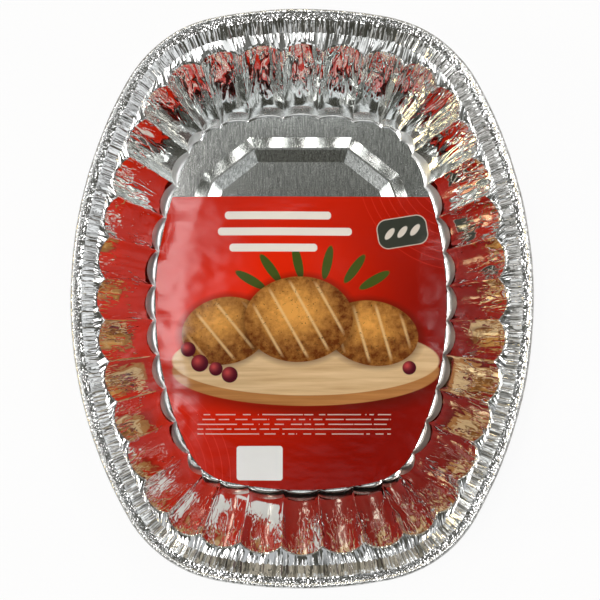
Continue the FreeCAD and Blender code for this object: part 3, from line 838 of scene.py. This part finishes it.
    # thin broken lines and a white panel
    above, step, half = prints["lineStep"]
    lines = inside(abs(((y + above) % step) - step / 2) - half, 0.2)
    broken = g.noise(g.join(x * 0.14, g.math("FLOOR", (y + above) / step) * 7.3, 0.0), 1.0, 1.0) > 0.42
    lines = lines * broken * inside(panel(*prints["lines"]))
    colour = g.tint(lines * 0.6, colour, inks["line"])
    colour = g.tint(inside(panel(*prints["box"])), colour, inks["box"])

    gloss = g.noise(where, 0.9, 2.0)
    bump = g.take("ShaderNodeBump", None, {"Strength": 0.12, "Distance": 0.3 * mm, "Height": gloss})
    roughness = g.noise(where, 0.03, 2.0) * 0.14 + 0.06
    return endMaterial(g, material, {
        "Base Color": colour, "Roughness": roughness, "Specular IOR Level": 0.3, "Normal": bump})


paperLabel = cutLabel(printedPaper())
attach(paperLabel, "root")
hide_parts("paper_label")

# The camera looks straight down, as the photograph's does

camera = {
    "place": (-9.0 * mm, -39.0 * mm, 780.0 * mm),
    "pixels": 600.0,
    "focalPixels": 893.0,
    "nadirPixel": (290.7, 348.2),
    "sensor": 36.0,
}
eye = bpy.data.cameras.new("camera")
eye.sensor_width = camera["sensor"]
eye.lens = camera["sensor"] * camera["focalPixels"] / camera["pixels"]
eye.shift_x = (camera["pixels"] / 2 - camera["nadirPixel"][0]) / camera["pixels"]
eye.shift_y = (camera["nadirPixel"][1] - camera["pixels"] / 2) / camera["pixels"]
eye.clip_start = 0.01
cameraObject = bpy.data.objects.new("camera", eye)
cameraObject.location = camera["place"]
bpy.context.scene.collection.objects.link(cameraObject)
bpy.context.scene.camera = cameraObject
bpy.context.scene.view_settings.view_transform = "Standard"
print("camera is", camera["place"][2], "m up")

# Light comes from soft boxes drawn on the world, at slopes from straight up. Those with panes have dark bars

lightLevel = 0.9
panes = {"size": 0.5, "shift": 0.05, "bar": 0.03, "soft": 0.02, "openAbove": 0.955}
softboxes = (
    # broad ones at the left, right, back and front
    {"x": (-1.5, -0.3), "y": (-1.0, 0.9), "edge": 0.05, "light": 0.75, "colour": (1.0, 0.99, 0.96), "panes": True},
    {"x": (0.3, 1.5), "y": (-1.0, 0.9), "edge": 0.08, "light": 1.1, "colour": (0.96, 0.98, 1.0), "panes": True},
    {"x": (-1.0, 1.0), "y": (0.29, 0.85), "edge": 0.03, "light": 1.15, "colour": (0.98, 1.0, 1.0), "panes": True},
    {"x": (-1.2, 1.2), "y": (0.8, 2.2), "edge": 0.1, "light": 0.5, "colour": (1.0, 0.9, 0.72), "panes": True},
    {"x": (-0.8, 0.16), "y": (-0.4, -0.145), "edge": 0.03, "light": 0.6, "colour": (0.94, 0.97, 1.0), "panes": True},
    # smaller ones at the front and the right, and the window that the sheet shows
    {"x": (-0.32, -0.18), "y": (-0.6, -0.05), "edge": 0.03, "light": 1.0, "colour": (1.0, 1.0, 1.0), "panes": False},
    {"x": (0.16, 0.26), "y": (-0.1, 0.24), "edge": 0.03, "light": 0.4, "colour": (0.96, 1.0, 0.98), "panes": False},
    {"x": (-0.46, -0.2), "y": (-0.12, 0.32), "edge": 0.06, "light": 13.0, "colour": (1.0, 0.97, 0.98), "panes": False},
    # bright strips, a glint for the rib and a faint fill overhead
    {"x": (-0.66, -0.54), "y": (-0.6, 0.7), "edge": 0.01, "light": 5.5, "colour": (1.0, 1.0, 1.0), "panes": True},
    {"x": (0.5, 0.62), "y": (-0.1, 0.7), "edge": 0.01, "light": 5.5, "colour": (1.0, 1.0, 1.0), "panes": True},
    {"x": (-0.42, 0.42), "y": (0.5, 0.62), "edge": 0.01, "light": 5.5, "colour": (1.0, 1.0, 1.0), "panes": True},
    {"x": (0.25, 0.29), "y": (0.03, 0.09), "edge": 0.01, "light": 20.0, "colour": (1.0, 1.0, 1.0), "panes": False},
    {"x": (-0.15, 0.15), "y": (0.16, 0.3), "edge": 0.03, "light": 0.18, "colour": (1.0, 1.0, 0.94), "panes": False},
    # dim ones near the horizon
    {"x": (-6.0, -1.6), "y": (-2.5, 2.5), "edge": 0.3, "light": 0.26, "colour": (1.0, 0.9, 0.82), "panes": False},
    {"x": (1.6, 6.0), "y": (-2.5, 2.5), "edge": 0.3, "light": 0.15, "colour": (1.0, 0.72, 0.68), "panes": False},
    {"x": (-3.0, 3.0), "y": (2.2, 9.0), "edge": 0.4, "light": 0.3, "colour": (1.0, 0.95, 0.85), "panes": False},
    {"x": (-4.0, 4.0), "y": (-12.0, -1.9), "edge": 0.3, "light": 1.3, "colour": (0.94, 0.97, 1.0), "panes": False},
    # low lamps, which show as glints in the wall
    {"x": (-0.35, -0.1), "y": (1.5, 2.0), "edge": 0.04, "light": 18.0, "colour": (1.0, 0.93, 0.76), "panes": False},
    {"x": (-2.1, -1.55), "y": (-0.45, 0.0), "edge": 0.05, "light": 17.0, "colour": (1.0, 0.8, 0.45), "panes": False},
    {"x": (1.6, 2.0), "y": (0.1, 0.4), "edge": 0.05, "light": 4.0, "colour": (1.0, 0.96, 0.9), "panes": False},
)


def seenRays(g):
    # rays straight from the camera, and those that metal or glass sends on, which show the white background too
    path = g.node("ShaderNodeLightPath")
    kinds = ("Camera", "Glossy", "Transmission")
    direct, glossy, through = [Sock(g, path.outputs["Is " + kind + " Ray"]) for kind in kinds]
    return direct, g.math("MAXIMUM", glossy, through)


world = bpy.data.worlds.new("world")
bpy.context.scene.world = world
world.use_nodes = True
g = Graph(world.node_tree)
x, y, z = g.split(g.take("ShaderNodeTexCoord", out=0))
rise = g.math("MAXIMUM", z, 0.05)
slopeX, slopeY = x / rise, y / rise
sky = g.tint(g.ramp(z, 0.0, 0.5), (0.2, 0.15, 0.12, 1.0), (0.07, 0.068, 0.056, 1.0))
gaps = 1.0
for slope in (abs(slopeX), slopeY):
    fromBar = abs(((slope + panes["shift"]) % panes["size"]) - panes["size"] / 2)
    gaps = g.ramp(fromBar, panes["bar"], panes["bar"] + panes["soft"]) * gaps
gaps = g.math("MAXIMUM", gaps, z > panes["openAbove"])
for softbox in softboxes:
    mask = gaps if softbox["panes"] else 1.0
    for slope, (low, high) in ((slopeX, softbox["x"]), (slopeY, softbox["y"])):
        edge = softbox["edge"]
        mask = g.ramp(slope, low, low + edge) * g.ramp(slope, high, high - edge) * mask
    glow = [softbox["light"] * lightLevel * channel for channel in softbox["colour"]] + [1.0]
    sky = g.tint(mask, sky, tuple(glow))
direct, mirrored = seenRays(g)
lowDown = g.ramp(z, 0.02, 0.1, 1.0, 0.0)      # the lights hang above the backdrop
seen = g.math("MAXIMUM", direct, mirrored * lowDown)
sky = g.tint(seen, sky, (1.0, 1.0, 1.0, 1.0))
backdrop = g.take("ShaderNodeBackground", None, {"Color": sky, "Strength": 1.0})
g.node("ShaderNodeOutputWorld", None, {0: backdrop})
print("light comes from", len(softboxes), "soft boxes")

# The table keeps the pan's shadow, and is otherwise white

floorLook = {"half": 3, "plain": 0.9, "plainInMetal": 0.6}
half = floorLook["half"]
table = bpy.data.meshes.new("table")
table.from_pydata([(-half, -half, 0), (half, -half, 0), (half, half, 0), (-half, half, 0)], [], [(0, 1, 2, 3)])
tableObject = bpy.data.objects.new("table", table)
bpy.context.scene.collection.objects.link(tableObject)
white, g = newMaterial("white")
shaded = g.take("ShaderNodeBsdfDiffuse", None, {"Color": (0.93, 0.93, 0.93, 1.0)})
plain = g.take("ShaderNodeEmission", None, {"Color": (1.0, 1.0, 1.0, 1.0), "Strength": 1.0})
direct, mirrored = seenRays(g)
seen = g.math("MAXIMUM", direct * floorLook["plain"], mirrored * floorLook["plainInMetal"])
mixed = g.take("ShaderNodeMixShader", None, {0: seen, 1: shaded, 2: plain})
g.node("ShaderNodeOutputMaterial", None, {0: mixed})
table.materials.append(white)
